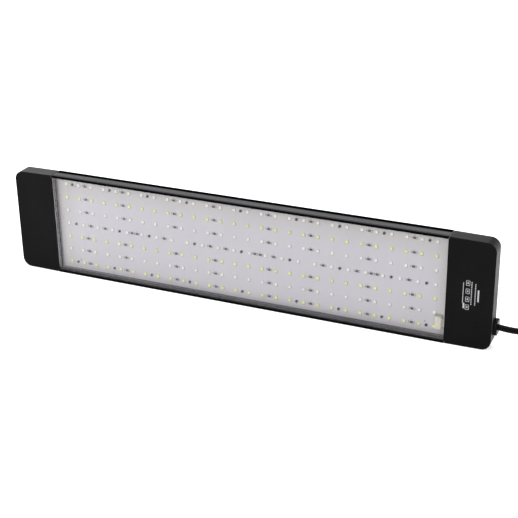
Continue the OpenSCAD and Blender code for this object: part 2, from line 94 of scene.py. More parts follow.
GLAND_Z = (gland_lo.z + gland_hi.z) / 2
CORD_R = mm(3.5)
PRINT_T = mm(0.03)                        # thickness of every printed mark
PRINT_EDGE = mm(0.01)
FACE_INSET = PRINT_T                      # the caps' faces lie this far in, under the print


# ---------- camera ----------

CAMERA_PLACE = Vector((0.5588, -1.1926, 0.6535))
CAMERA_AZIMUTH, CAMERA_ELEVATION, CAMERA_ROLL = 24.231, 24.438, -0.886     # degrees
CAMERA_LENS, CAMERA_SENSOR = 86.25, 36                                     # millimetres
CAMERA_NEAR, CAMERA_FAR = 0.02, 50


def make_camera():
    azimuth, elevation, roll = map(math.radians, (CAMERA_AZIMUTH, CAMERA_ELEVATION, CAMERA_ROLL))
    ahead = Vector((-math.sin(azimuth) * math.cos(elevation), math.cos(azimuth) * math.cos(elevation),
                    -math.sin(elevation)))
    level = Vector((math.cos(azimuth), math.sin(azimuth), 0))
    upright = level.cross(ahead)
    right = math.cos(roll) * level + math.sin(roll) * upright
    up = right.cross(ahead)
    data = bpy.data.cameras.new("camera")
    data.sensor_width = CAMERA_SENSOR
    data.lens = CAMERA_LENS
    data.clip_start, data.clip_end = CAMERA_NEAR, CAMERA_FAR
    camera = bpy.data.objects.new("camera", data)
    bpy.context.scene.collection.objects.link(camera)
    bpy.context.scene.camera = camera
    turn = Matrix((right, up, -ahead)).transposed()
    camera.matrix_world = Matrix.Translation(CAMERA_PLACE) @ turn.to_4x4()


make_camera()


# ---------- materials ----------

class Look:
    """A procedural material: a Principled shader with helpers that wire textures into it."""

    def __init__(self, name, colour, rough, metallic=0.0, specular=0.5):
        self.material = bpy.data.materials.new(name)
        self.material.use_nodes = True
        self.tree = self.material.node_tree
        self.shader = self.tree.nodes["Principled BSDF"]
        self.set("Base Color", (*colour, 1))
        self.set("Roughness", rough)
        self.set("Metallic", metallic)
        self.set("Specular IOR Level", specular)
        self.coords = self.add("TexCoord").outputs["Object"]

    def add(self, kind, **sockets):
        node = self.tree.nodes.new("ShaderNode" + kind)
        for key, value in sockets.items():
            node.inputs[key.replace("_", " ")].default_value = value
        return node

    def link(self, source, target):
        self.tree.links.new(source, target)

    def set(self, socket, value):
        self.shader.inputs[socket].default_value = value

    def stretched(self, scale):
        mapping = self.add("Mapping", Scale=scale)
        self.link(self.coords, mapping.inputs["Vector"])
        return mapping.outputs["Vector"]

    def noise(self, scale, detail, roughness=0.5, stretch=(1, 1, 1)):
        node = self.add("TexNoise", Scale=scale, Detail=detail, Roughness=roughness)
        self.link(self.stretched(stretch), node.inputs["Vector"])
        return node.outputs["Fac"]

    def wave(self, scale, direction):
        node = self.add("TexWave", Scale=scale)
        node.bands_direction = direction
        self.link(self.coords, node.inputs["Vector"])
        return node.outputs["Fac"]

    def span(self, source, low, high, start=0.3, end=0.7):
        node = self.add("MapRange")
        for index, value in enumerate((start, end, low, high), 1):
            node.inputs[index].default_value = value
        self.link(source, node.inputs[0])
        return node.outputs[0]

    def blend(self, source, first, second, start=0.3, end=0.7):
        node = self.add("ValToRGB")
        ramp = node.color_ramp
        ramp.elements[0].position, ramp.elements[1].position = start, end
        ramp.elements[0].color, ramp.elements[1].color = (*first, 1), (*second, 1)
        self.link(source, node.inputs["Fac"])
        return node.outputs["Color"]

    def feed(self, node, values):
        """Gives each of the node's sockets, by its index, a link or a constant."""
        for index, value in values.items():
            if isinstance(value, bpy.types.NodeSocket):
                self.link(value, node.inputs[index])
            else:
                node.inputs[index].default_value = value

    def mix(self, factor, first, second):
        node = self.add("Mix")
        node.data_type = "RGBA"
        self.feed(node, {0: factor, 6: first, 7: second})
        return node.outputs[2]

    def maths(self, operation, first, second):
        node = self.add("Math")
        node.operation = operation
        self.feed(node, {0: first, 1: second})
        return node.outputs[0]

    def times(self, first, second):
        return self.maths("MULTIPLY", first, second)

    def plus(self, first, second):
        return self.maths("ADD", first, second)

    def band(self, source, rise, fall, height=1):
        """Rises from 0 to height over the span of rise, then falls to 0 over the span of fall."""
        return self.times(self.span(source, 0, height, *rise), self.span(source, 1, 0, *fall))

    def axis(self, name):
        node = self.add("SeparateXYZ")
        self.link(self.coords, node.inputs[0])
        return node.outputs[name]

    def colour(self, source):
        self.link(source, self.shader.inputs["Base Color"])

    def roughness(self, source):
        self.link(source, self.shader.inputs["Roughness"])

    def bump(self, source, depth, strength):
        node = self.add("Bump", Strength=strength, Distance=depth)
        self.link(source, node.inputs["Height"])
        if self.shader.inputs["Normal"].links:
            self.link(self.shader.inputs["Normal"].links[0].from_socket, node.inputs["Normal"])
        self.link(node.outputs["Normal"], self.shader.inputs["Normal"])

    def scuffed(self, plain, worn, amount):
        """Pales the colour in sparse rubbed patches."""
        patches = self.span(self.noise(45, 6, 0.7), 0, amount, 0.60, 0.74)
        self.colour(self.mix(patches, plain, (*worn, 1)))


def shade(base, factor):
    return tuple(min(1, c * factor) for c in base)


# Painted sheen: the pale tones given to the ribs and to the back fins.
RIB_SHEEN_TONE, FIN_SHEEN_TONE = (0.160, 0.160, 0.166, 1), (0.030, 0.030, 0.032, 1)
RIB_FADE = mm(0.3)                        # the ribs' painted sheen fades over this far either side of their ends
SHOULDER_TONE = 0.36                      # how much of the ribs' painted sheen the strip in front of them takes


def anodised():
    """Black anodised aluminium with drawing lines along it; painted sheen makes its ribs, the strip in front
    of them and its back fins a little paler.
    """
    look = Look("black_anodised", (0.003, 0.003, 0.0035), 0.5, 0.0, 0.006)
    streaks = look.noise(1, 4, 0.6, (14, 1500, 1500))
    cloud = look.noise(30, 3)
    depth, height = look.axis("Y"), look.axis("Z")
    ribs_end = (RIBS_BACK - RIB_FADE, RIBS_BACK + RIB_FADE)
    # Painted sheen on the ribs and on the strip in front of them, broken up by the drawing lines.
    ribs = look.band(depth, (RIBS_FRONT - RIB_FADE, RIBS_FRONT + RIB_FADE), ribs_end)
    shoulder = look.band(depth, (FACE_Y + mm(0.5), FACE_Y + mm(1.0)), ribs_end, SHOULDER_TONE)
    rib_sheen = look.times(look.maths("MAXIMUM", ribs, shoulder), look.span(streaks, 0.65, 1.0))
    black = look.blend(streaks, (0.0014, 0.0014, 0.0018), (0.0026, 0.0026, 0.0031))
    inside = look.band(height, (mm(4), mm(8)), (TOP_Z - mm(8), TOP_Z - mm(4)))
    # Painted sheen on the back fins.
    fins = look.times(look.span(depth, 0, 1, BACK_Y - mm(6.5), BACK_Y - mm(0.5)), inside)
    look.colour(look.mix(fins, look.mix(rib_sheen, black, RIB_SHEEN_TONE), FIN_SHEEN_TONE))
    look.roughness(look.span(look.plus(streaks, look.times(cloud, 0.4)), 0.42, 0.58, 0.4, 1.0))
    look.bump(streaks, mm(0.02), 0.6)
    return look.material


def cap_plastic():
    """The caps' finely textured black plastic, which pales at a slant."""
    look = Look("cap_plastic", (0.003, 0.0026, 0.0027), 0.42, 0.0, 0.05)
    grain = look.noise(3200, 2, 0.55)
    cloud = look.noise(22, 4, 0.6)
    plain = look.blend(cloud, (0.0024, 0.0021, 0.0022), (0.0038, 0.0033, 0.0034))
    look.scuffed(plain, (0.009, 0.009, 0.009), 0.4)
    look.roughness(look.span(cloud, 0.38, 0.48))
    look.bump(grain, mm(0.012), 0.5)
    look.set("Sheen Weight", 0.235)
    look.set("Sheen Roughness", 0.32)
    return look.material


# Painted shade on the board: the tones of its darker edges and of its corner by the connector, and how far in
# they fade.
EDGE_SHADE_TONE, CORNER_SHADE_TONE = (0.50, 0.475, 0.425, 1), (0.40, 0.355, 0.31, 1)
TOP_FADE, FOOT_FADE, LEFT_FADE, RIGHT_FADE = mm(30), mm(9), mm(26), mm(16)
CORNER_W, CORNER_H = mm(9), mm(30)        # the painted shade in the corner by the connector


def board_mask():
    """The board's white solder mask, with painted shade making it warmer and darker towards its edges, next
    to the housing's lips and caps, and in the corner by the connector.
    """
    look = Look("white_board", (0.565, 0.565, 0.587), 0.32, 0.0, 0.35)
    cloud = look.noise(9, 4, 0.55)
    weave = look.noise(700, 2, 0.5)
    across, along = look.axis("Z"), look.axis("X")
    # Painted shade towards the board's top, foot, left and right edges.
    top = look.span(across, 0, 1, board_hi.z - TOP_FADE, board_hi.z)
    foot = look.times(look.span(across, 1, 0, board_lo.z, board_lo.z + FOOT_FADE), 0.5)
    left = look.span(along, 1, 0, board_lo.x, board_lo.x + LEFT_FADE)
    right = look.span(along, 0, 1, board_hi.x - RIGHT_FADE, board_hi.x)
    rim = look.maths("MINIMUM", look.plus(look.plus(top, foot), look.plus(left, right)), 1.0)
    plain = look.blend(cloud, (0.543, 0.544, 0.565), (0.565, 0.566, 0.587))
    tone = look.mix(look.times(rim, 0.62), plain, EDGE_SHADE_TONE)
    # Painted shade in the corner by the connector.
    corner = look.times(look.span(along, 0, 1, board_hi.x - CORNER_W, board_hi.x),
                        look.span(across, 1, 0, board_lo.z, board_lo.z + CORNER_H))
    look.colour(look.mix(corner, tone, CORNER_SHADE_TONE))
    look.roughness(look.span(cloud, 0.28, 0.40))
    look.bump(weave, mm(0.01), 0.3)
    return look.material


def ink(name, colour):
    """Matt printing ink, also used as the paint of the painted lamp shadows."""
    look = Look(name, colour, 0.6, 0.0, 0.3)
    look.colour(look.blend(look.noise(900, 3), shade(colour, 0.82), shade(colour, 1.12)))
    look.roughness(look.span(look.noise(400, 2), 0.52, 0.68))
    return look.material


def clear_sheet():
    """Clear acrylic: what is behind shows through, with a gloss that grows at a slant."""
    look = Look("clear_acrylic", (0.93, 0.92, 0.95), 0.05, 1.0)
    look.roughness(look.span(look.noise(60, 3), 0.03, 0.09))
    look.bump(look.noise(6, 2), mm(0.25), 0.12)
    clear = look.add("BsdfTransparent", Color=(0.99, 0.985, 0.99, 1))
    gloss = look.add("Fresnel", IOR=1.42)
    mixer = look.add("MixShader")
    look.link(look.times(gloss.outputs[0], 0.9), mixer.inputs[0])
    look.link(clear.outputs[0], mixer.inputs[1])
    look.link(look.shader.outputs[0], mixer.inputs[2])
    look.link(mixer.outputs[0], look.tree.nodes["Material Output"].inputs["Surface"])
    return look.material


def moulded(name, colour, rough, specular=0.4, grain=900, depth=0.008):
    """Moulded plastic, rubber or ceramic: a fine grain whose depth is in millimetres."""
    look = Look(name, colour, rough, 0.0, specular)
    cloud = look.noise(120, 3)
    look.scuffed(look.blend(cloud, shade(colour, 0.88), shade(colour, 1.1)), shade(colour, 1.35), 0.4)
    look.roughness(look.span(cloud, rough - 0.06, rough + 0.07))
    look.bump(look.noise(grain, 2), mm(depth), 0.5)
    return look.material


def metal(name, colour, rough, brushed=(1, 1, 1)):
    """Bare or plated metal, with marks that brushed stretches."""
    look = Look(name, colour, rough, 1.0)
    marks = look.noise(900, 3, 0.6, brushed)
    look.scuffed(look.blend(marks, shade(colour, 0.8), shade(colour, 1.12)), shade(colour, 1.4), 0.5)
    look.roughness(look.span(marks, rough - 0.08, rough + 0.12))
    look.bump(marks, mm(0.01), 0.4)
    return look.material


def sheath():
    """The lead's smooth black sheath, slightly uneven, with a soft gloss."""
    look = Look("cord_pvc", (0.002, 0.002, 0.002), 0.22, 0.0, 0.06)
    cloud = look.noise(70, 4, 0.6)
    look.colour(look.blend(cloud, (0.0016, 0.0016, 0.0017), (0.0030, 0.0030, 0.0032)))
    look.roughness(look.span(cloud, 0.17, 0.28))
    look.bump(look.noise(260, 3), mm(0.05), 0.25)
    return look.material


def woven(name, colour):
    """Plain woven tape: two sets of threads across each other."""
    look = Look(name, colour, 0.85, 0.0, 0.2)
    cloth = look.times(look.wave(520, "X"), look.wave(520, "Z"))
    look.colour(look.blend(cloth, shade(colour, 0.6), shade(colour, 1.7), 0.1, 0.9))
    look.roughness(look.span(cloth, 0.75, 0.95, 0, 1))
    look.bump(cloth, mm(0.15), 0.7)
    look.set("Sheen Weight", 0.3)
    return look.material


def laminate(name, colour):
    """Circuit board laminate, with the weave of its fibres showing faintly."""
    look = Look(name, colour, 0.45, 0.0, 0.4)
    fibre = look.plus(look.noise(1, 2, 0.5, (1800, 90, 90)), look.noise(1, 2, 0.5, (90, 90, 1800)))
    look.colour(look.blend(fibre, shade(colour, 0.75), shade(colour, 1.2), 0.7, 1.3))
    look.roughness(look.span(fibre, 0.38, 0.55, 0.7, 1.3))
    look.bump(fibre, mm(0.02), 0.3)
    return look.material


def lens(name, colour, centre):
    """The silicone in a lamp's pocket, slightly uneven in colour."""
    look = Look(name, colour, 0.28, 0.0, 0.4)
    look.colour(look.blend(look.noise(420, 2), colour, centre, 0.35, 0.65))
    look.roughness(look.span(look.noise(700, 2), 0.22, 0.36))
    look.set("Subsurface Weight", 0.15)
    look.set("Subsurface Scale", mm(0.4))
    return look.material


LOOKS = {
    "black_anodised": anodised(),
    "clear_acrylic": clear_sheet(),
    "black_silicone": moulded("black_silicone", (0.012, 0.012, 0.012), 0.6, 0.2),
    "white_board": board_mask(),
    "grey_silicone": moulded("grey_silicone", (0.03, 0.03, 0.03), 0.6, 0.2),
    "grey_pad": moulded("grey_pad", (0.20, 0.23, 0.26), 0.8, 0.2, 500, 0.03),
    "lamp_body": moulded("lamp_body", (0.86, 0.86, 0.80), 0.42, 0.4, 1500),
    "white_lens": lens("white_lens", (0.83, 0.83, 0.71), (0.89, 0.89, 0.80)),
    "yellow_lens": lens("yellow_lens", (0.82, 0.91, 0.20), (0.90, 0.97, 0.28)),
    "chip_ceramic": moulded("chip_ceramic", (0.022, 0.021, 0.018), 0.5, 0.2),
    "board_screw": metal("board_screw", (0.07, 0.064, 0.055), 0.42),
    "cream_nylon": moulded("cream_nylon", (0.72, 0.69, 0.56), 0.42),
    "bright_steel": metal("bright_steel", (0.55, 0.55, 0.54), 0.3),
    "white_pvc": moulded("white_pvc", (0.78, 0.76, 0.70), 0.35),
    "cap_plastic": cap_plastic(),
    "gasket_rubber": moulded("gasket_rubber", (0.10, 0.10, 0.104), 0.5, 0.2),
    "black_screw": metal("black_screw", (0.05, 0.05, 0.052), 0.36),
    "driver_laminate": laminate("driver_laminate", (0.30, 0.18, 0.07)),
    "yellow_tape": moulded("yellow_tape", (0.70, 0.50, 0.05), 0.3),
    "ferrite": moulded("ferrite", (0.035, 0.035, 0.038), 0.55, 0.4, 500, 0.03),
    "capacitor_sleeve": moulded("capacitor_sleeve", (0.018, 0.022, 0.035), 0.25),
    "copper_winding": metal("copper_winding", (0.42, 0.18, 0.07), 0.3, (1, 6, 1)),
    "fuse_body": moulded("fuse_body", (0.14, 0.045, 0.025), 0.35),
    "chip_epoxy": moulded("chip_epoxy", (0.014, 0.014, 0.014), 0.55),
    "green_terminal": moulded("green_terminal", (0.03, 0.20, 0.08), 0.4),
    "gland_nylon": moulded("gland_nylon", (0.002, 0.002, 0.002), 0.24, 0.06),
    "cord_pvc": sheath(),
    "core_pvc": moulded("core_pvc", (0.16, 0.07, 0.03), 0.35),
    "tie_nylon": woven("tie_nylon", (0.016, 0.016, 0.017)),
    "plug_plastic": moulded("plug_plastic", (0.012, 0.012, 0.012), 0.45, 0.4),
    "plug_metal": metal("plug_metal", (0.62, 0.60, 0.56), 0.2),
}
PRINT = ink("grey_print", (0.42, 0.42, 0.44))
OUTLINE = ink("board_print", (0.045, 0.045, 0.04))
# Painted shadow beside and below each lamp.
LAMP_SHADOW_PAINT = ink("lamp_shadow_paint", (0.36, 0.35, 0.33))
SOLDER = metal("solder", (0.62, 0.63, 0.64), 0.35)
TINNED_END = metal("tinned_end", (0.07, 0.066, 0.058), 0.5)
BODY_LOOK = {"white": LOOKS["lamp_body"], "yellow": moulded("yellow_lamp_body", (0.76, 0.84, 0.26), 0.42)}
SLOT_OF = {s["node"]: s["material_slot"] for s in frame["record"]["subparts"]}

for cad_name, cad_object in nodes.items():
    cad_object.data.materials.clear()
    cad_object.data.materials.append(LOOKS[SLOT_OF[cad_name]])


# ---------- building blocks ----------

def weigh_normals(mesh, smooth):
    """Smooths across gentle edges, with each face counting by its area, so big flat faces stay flat."""
    faces_at = [[] for _ in mesh.vertices]
    for face in mesh.polygons:
        for vertex in face.vertices:
            faces_at[vertex].append(face)
    limit = math.cos(math.radians(smooth))
    normals = []
    for face in mesh.polygons:
        for vertex in face.vertices:
            total = Vector((0, 0, 0))
            for other in faces_at[vertex]:
                if other.normal.dot(face.normal) > limit:
                    total += other.normal * other.area
            normals.append(total.normalized() if total.length > 0 else face.normal.copy())
    mesh.normals_split_custom_set(normals)


def finish_piece(name, mesh, material, stands_for, smooth):
    """Makes the mesh a piece that rides with the light, smoothed where faces meet at less than smooth
    degrees, and stands in for the CAD nodes in stands_for."""
    mesh.materials.append(material)
    mesh.polygons.foreach_set("use_smooth", [smooth > 0] * len(mesh.polygons))
    if smooth:
        weigh_normals(mesh, smooth)
    piece = bpy.data.objects.new(name, mesh)
    bpy.context.scene.collection.objects.link(piece)
    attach(piece, "root")
    if stands_for:
        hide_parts(*stands_for)
    return piece


class Shape:
    """Points and faces gathered for one mesh."""

    def __init__(self):
        self.points, self.faces = [], []

    def loft(self, rings, closed=True):
        """Joins rings that each have the same number of points, and shuts both ends if closed."""
        start, n = len(self.points), len(rings[0])
        for ring in rings:
            self.points.extend(ring)
        for i in range(len(rings) - 1):
            a, b = start + i * n, start + (i + 1) * n
            self.faces.extend((a + k, b + k, b + (k + 1) % n, a + (k + 1) % n) for k in range(n))
        if closed:
            last = start + (len(rings) - 1) * n
            self.faces.append(tuple(range(start, start + n)))
            self.faces.append(tuple(range(last + n - 1, last - 1, -1)))
        return self

    def repeated(self, places):
        """This shape copied to each of the places."""
        copy = Shape()
        for place in places:
            start = len(copy.points)
            copy.points.extend((p[0] + place[0], p[1] + place[1], p[2] + place[2]) for p in self.points)
            copy.faces.extend(tuple(start + i for i in face) for face in self.faces)
        return copy

    def mesh(self, name):
        mesh = bpy.data.meshes.new(name)
        mesh.from_pydata([tuple(p) for p in self.points], [], self.faces)
        work = bmesh.new()
        work.from_mesh(mesh)
        bmesh.ops.recalc_face_normals(work, faces=work.faces)
        work.to_mesh(mesh)
        work.free()
        mesh.update()
        return mesh

    def piece(self, name, material, slot, stands_for, smooth):
        return finish_piece(name, self.mesh(name), material, stands_for, smooth)


def round_rect(half_w, half_h, radius, steps):
    """Points round a rectangle with rounded corners, as (across, up)."""
    points = []
    for corner, (sx, sy) in enumerate(((1, 1), (-1, 1), (-1, -1), (1, -1))):
        for i in range(steps + 1):
            angle = math.radians(90 * corner + 90 * i / steps)
            points.append((sx * (half_w - radius) + radius * math.cos(angle),
                           sy * (half_h - radius) + radius * math.sin(angle)))
    return points


def facing(outline, y, x=0.0, z=0.0):
    """An outline laid in a plane that faces the camera's side, at depth y."""
    return [(x + a, y, z + b) for a, b in outline]


def slab(half_w, half_h, radius, y_back, y_front, edge, x=0.0, z=0.0, steps=3):
    """A rounded rectangular pad with an eased front edge, standing from y_back forward to y_front."""
    side = round_rect(half_w, half_h, radius, steps)
    rim = round_rect(half_w - edge * 0.3, half_h - edge * 0.3, radius * 0.95, steps)
    front = round_rect(half_w - edge, half_h - edge, max(radius - edge, edge * 0.2), steps)
    return Shape().loft([facing(side, y_back, x, z), facing(side, y_front + edge, x, z),
                         facing(rim, y_front + edge * 0.3, x, z), facing(front, y_front, x, z)])


def mark(w, h, x=0.0, z=0.0, radius=0.1):
    """A flat bar on the board, for print and for painted shadows, with its size and place in millimetres."""
    return slab(mm(w) / 2, mm(h) / 2, mm(radius), 0, -PRINT_T, PRINT_EDGE, mm(x), mm(z), 2)


def circle(count):
    """Angles evenly round a circle."""
    return [2 * math.pi * k / count for k in range(count)]


def oval(angles, half_w, half_h, x=0.0, z=0.0):
    """Points round an oval in millimetres, as (across, up)."""
    return [(mm(x + half_w * math.cos(t)), mm(z + half_h * math.sin(t))) for t in angles]


def hoop(x, y, z, radius, angles):
    """A circle that faces along X, centred on the given place."""
    return [(x, y + radius * math.cos(t), z + radius * math.sin(t)) for t in angles]


def merged(shapes):
    """All the shapes as one."""
    whole = Shape()
    for shape in shapes:
        start = len(whole.points)
        whole.points.extend(shape.points)
        whole.faces.extend(tuple(start + i for i in face) for face in shape.faces)
    return whole


def ring_band(outer, inner, y_back, y_front, x=0.0, z=0.0):
    """A flat loop between two outlines with the same number of points."""
    shape = Shape()
    n = len(outer)
    for outline, y in ((outer, y_back), (outer, y_front), (inner, y_front), (inner, y_back)):
        shape.points.extend(facing(outline, y, x, z))
    for k in range(n):
        j = (k + 1) % n
        for a, b in ((0, 1), (1, 2), (2, 3), (3, 0)):
            shape.faces.append((a * n + k, b * n + k, b * n + j, a * n + j))
    return shape


WELD, FLAT_ANGLE, SHARP_ANGLE = mm(0.002), math.radians(0.6), math.radians(40)


def eased(node, name, width, pick, segments=3):
    """A copy of a CAD solid with the edges that pick() chooses rounded over."""
    work = bmesh.new()
    work.from_mesh(nodes[node].data)
    bmesh.ops.remove_doubles(work, verts=work.verts, dist=WELD)
    bmesh.ops.dissolve_limit(work, angle_limit=FLAT_ANGLE, verts=work.verts, edges=work.edges)
    edges = [edge for edge in work.edges
             if len(edge.link_faces) == 2 and edge.calc_face_angle(0) > SHARP_ANGLE and pick(edge)]
    bmesh.ops.bevel(work, geom=edges, offset=width, segments=segments, profile=0.5, affect="EDGES",
                    clamp_overlap=False)
    bmesh.ops.recalc_face_normals(work, faces=work.faces)
    mesh = bpy.data.meshes.new(name)
    work.to_mesh(mesh)
    work.free()
    slot = SLOT_OF[node]
    return finish_piece(name, mesh, LOOKS[slot], (node,), 40)


def smooth_path(points, steps):
    """A smooth run through the given points."""
    points = [Vector(p) for p in points]
    path = []
    for i in range(len(points) - 1):
        before = points[max(i - 1, 0)]
        after = points[min(i + 2, len(points) - 1)]
        for k in range(steps):
            t = k / steps
            path.append(0.5 * ((2 * points[i]) + (points[i + 1] - before) * t
                               + (2 * before - 5 * points[i] + 4 * points[i + 1] - after) * t * t
                               + (3 * points[i] - before - 3 * points[i + 1] + after) * t ** 3))
    path.append(points[-1])
    return path


# ---------- the mains lead ----------

# The points of both lists are in millimetres, with X counted from the cap's outer end.
LEAD_IN = [(5, 0, 26.5), (12, 0, 25.8), (20, 0.4, 25.2), (28, 1.2, 25.0), (36, 2.2, 24.4), (44, 2.6, 22.4),
           (52, 2.4, 19.2), (60, 1.5, 15.2), (68, 0.4, 11.4), (76, -0.8, 8), (84, -1.8, 5.4), (92, -2.4, 3.9),
           (100, -2.5, 3.5)]
LEAD_OUT = [(234, 34.9, 13.1), (229, 31, 11.8), (222, 26, 10), (215, 22.7, 8.5), (207, 20.6, 7.3),
            (199.5, 20, 6.8)]
BRIDGE = [(8, 0.7, 0.5), (15.7, 2.9, 1.5)] # back, nearer and down from the end of the last turn
PATH_STEPS = 4                            # points from one placed point to the next
HANK_LAYERS = 3
NEAR_TURN, FAR_TURN = mm(22.5), mm(24.5)  # turn radii of alternate layers
RUN_START = hank_lo.x + mm(28)
RUN_END = hank_hi.x - mm(28)
HANK_Y = (hank_lo.y + hank_hi.y) / 2
RUN_STEPS, TURN_STEPS = 10, 24


def from_end(points):
    """Route points counted in millimetres from the cap's outer end."""
    return [(END_X + mm(x), mm(y), mm(z)) for x, y, z in points]


def hank_turns():
    """Three folded turns, each layer lying in the dip of the one below."""
    layer_h = (hank_hi.z - 2 * CORD_R) / (HANK_LAYERS - 1)
    run = RUN_END - RUN_START
    points = []
    for layer in range(HANK_LAYERS):
        radius, other = (NEAR_TURN, FAR_TURN) if layer % 2 == 0 else (FAR_TURN, NEAR_TURN)
        z = CORD_R + layer * layer_h
        points += [(RUN_START + run * i / RUN_STEPS, HANK_Y - radius, z) for i in range(RUN_STEPS)]
        for i in range(TURN_STEPS + 1):
            angle = math.pi * (i / TURN_STEPS - 0.5)
            points.append((RUN_END + radius * math.cos(angle), HANK_Y + radius * math.sin(angle), z))
        if layer == HANK_LAYERS - 1:
            break
        points += [(RUN_END - run * i / RUN_STEPS, HANK_Y + radius, z) for i in range(1, RUN_STEPS)]
        for i in range(TURN_STEPS):
            part = i / TURN_STEPS
            ease = part * part * (3 - 2 * part)
            angle = math.pi * (0.5 + part)
            turn = radius + (other - radius) * ease
            points.append((RUN_START + turn * math.cos(angle), HANK_Y + turn * math.sin(angle),
                           z + layer_h * ease))
    return points


def lead_path():
    """The lead from the cap, round the hank and out to the plug."""
    turns = hank_turns()
    x, y, z = turns[-1]
    bridge = [turns[-1]] + [(x - mm(back), y - mm(near), z - mm(down)) for back, near, down in BRIDGE]
    return (smooth_path(from_end(LEAD_IN), PATH_STEPS) + [Vector(p) for p in turns[1:-1]]
            + smooth_path(bridge + from_end(LEAD_OUT), PATH_STEPS))


def make_lead():
    path = lead_path()
    curve = bpy.data.curves.new("mains_lead", "CURVE")
    curve.dimensions = "3D"
    curve.bevel_depth = CORD_R
    curve.bevel_resolution = 6
    curve.use_fill_caps = True
    spline = curve.splines.new("POLY")
    spline.points.add(len(path) - 1)
    for point, place in zip(spline.points, path):
        point.co = (*place, 1)
    curve.materials.append(LOOKS["cord_pvc"])
    lead = bpy.data.objects.new("mains_lead", curve)
    bpy.context.scene.collection.objects.link(lead)
    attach(lead, "root")
    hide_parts("power_cord", "cord_hank", "cord_tail")
    return lead, sum((b - a).length for a, b in zip(path, path[1:]))


lead, lead_length = make_lead()


TIE_OFFSET = mm(23.5)                     # each strap's distance from the middle of the hank
STRAP_T, OVERLAP_LIFT = mm(0.5), mm(0.45)
STRAP_STEPS, OVERLAP_STEPS = 40, 8        # points round a strap, and of its end that lies on its start
SQUARENESS = 6                            # power of the rounded square that a strap follows
SIDE_HALF_W = ((hank_hi.y - hank_lo.y) / 2 - mm(18.9)) / 2 + mm(0.35)


def make_ties():
    """Two hook and loop straps, each wound once round the folded turns and pressed onto itself."""
    half_h = tie_hi.z / 2
    strap = Shape()
    for side in (-1, 1):
        middle = HANK_Y + side * TIE_OFFSET
        rings = []
        for i in range(STRAP_STEPS + OVERLAP_STEPS):
            angle = 2 * math.pi * i / STRAP_STEPS + math.pi * 0.25
            lift = OVERLAP_LIFT if i >= STRAP_STEPS else 0.0
            c, s = math.cos(angle), math.sin(angle)
            reach = 1 / (abs(c) ** SQUARENESS + abs(s) ** SQUARENESS) ** (1 / SQUARENESS)
            ring = []
            for x, grow in ((tie_lo.x, 0), (tie_lo.x, STRAP_T), (tie_hi.x, STRAP_T), (tie_hi.x, 0)):
                skin = grow + lift - STRAP_T
                ring.append((x, middle + c * reach * (SIDE_HALF_W + skin),
                             half_h + s * reach * (half_h - STRAP_T + skin)))
            rings.append(ring)
        strap.loft(rings)
    return strap.piece("lead_ties", LOOKS["tie_nylon"], "tie_nylon", ("cord_ties",), 50)


PLUG_Y = (plug_lo.y + plug_hi.y) / 2
PLUG_Z = (plug_lo.z + plug_hi.z) / 2
# Along the grip from the lead to the pins: part of its length, half width in mm, part of its thickness.
GRIP = [(0.0, 6.0, 0.80), (0.03, 6.5, 0.90), (0.12, 7.4, 0.94), (0.22, 8.6, 0.95), (0.30, 9.9, 0.90),
        (0.34, 10.8, 0.96), (0.40, 12.3, 0.90), (0.44, 13.2, 0.97), (0.50, 14.8, 0.92),
        (0.54, 15.7, 0.99), (0.62, 17.0, 1.0), (0.72, 17.55, 1.0), (0.80, 17.3, 1.0), (0.90, 15.2, 0.99),
        (0.97, 13.4, 0.96), (1.0, 12.8, 0.90)]
GRIP_ROUND = 0.72                         # corner radius as a part of the smaller half size
RELIEF_RIBS, RELIEF_STEPS = 6, 4          # ribs along the strain relief, and rings to each
RELIEF_START, RELIEF_END, RELIEF_NOTCH = CORD_R + mm(0.9), mm(5.8), mm(0.55)
# Along a pin from the plug's face: distance and radius, both in mm.
PIN_SLEEVE = ((0.0, 1.9), (0.2, 2.0), (9.6, 2.0), (9.9, 1.8))
PIN_TIP = ((9.5, 1.6), (9.9, 1.85), (10.0, 1.95), (17.2, 1.95), (18.3, 1.6), (18.9, 0.9))
PIN_R = mm(2)


def make_grip():
    """A flat two-pin plug's body: a waisted grip that widens to shoulders, with shallow finger grooves."""
    half_t = (plug_hi.z - plug_lo.z) / 2
    rings = []
    for along, half_w, thick in GRIP:
        x = plug_hi.x + (plug_lo.x - plug_hi.x) * along
        outline = round_rect(mm(half_w), half_t * thick, min(mm(half_w), half_t * thick) * GRIP_ROUND, 6)
        rings.append([(x, PLUG_Y + a, PLUG_Z + b) for a, b in outline])
    return Shape().loft(rings).piece("plug_grip", LOOKS["plug_plastic"], "plug_plastic", ("plug_body",), 50)


def make_relief():
    """The ribbed sleeve where the lead enters the plug."""
    rings = []
    steps = RELIEF_RIBS * RELIEF_STEPS
    for i in range(steps + 1):
        part = i / steps
        notch = RELIEF_NOTCH if i % RELIEF_STEPS == RELIEF_STEPS // 2 else 0.0
        radius = RELIEF_START + (RELIEF_END - RELIEF_START) * part - notch
        x = relief_hi.x - (relief_hi.x - relief_lo.x) * part
        rings.append(hoop(x, PLUG_Y, PLUG_Z, radius, circle(24)))
    sleeve = Shape().loft(rings)
    return sleeve.piece("plug_strain_relief", LOOKS["plug_plastic"], "cord_pvc", ("plug_relief",), 30)


def make_pins():
    """Two round pins, sleeved for the half nearer the plug."""
    tips, sleeves = Shape(), Shape()
    for y in (pin_lo.y + PIN_R, pin_hi.y - PIN_R):
        for shape, stations in ((sleeves, PIN_SLEEVE), (tips, PIN_TIP)):
            shape.loft([hoop(pin_hi.x - mm(a), y, PLUG_Z, mm(r), circle(20)) for a, r in stations])
    return [tips.piece("plug_pin_tips", LOOKS["plug_metal"], "plug_metal", ("plug_pins",), 40),
            sleeves.piece("plug_pin_sleeves", LOOKS["plug_plastic"], "plug_plastic", (), 40)]


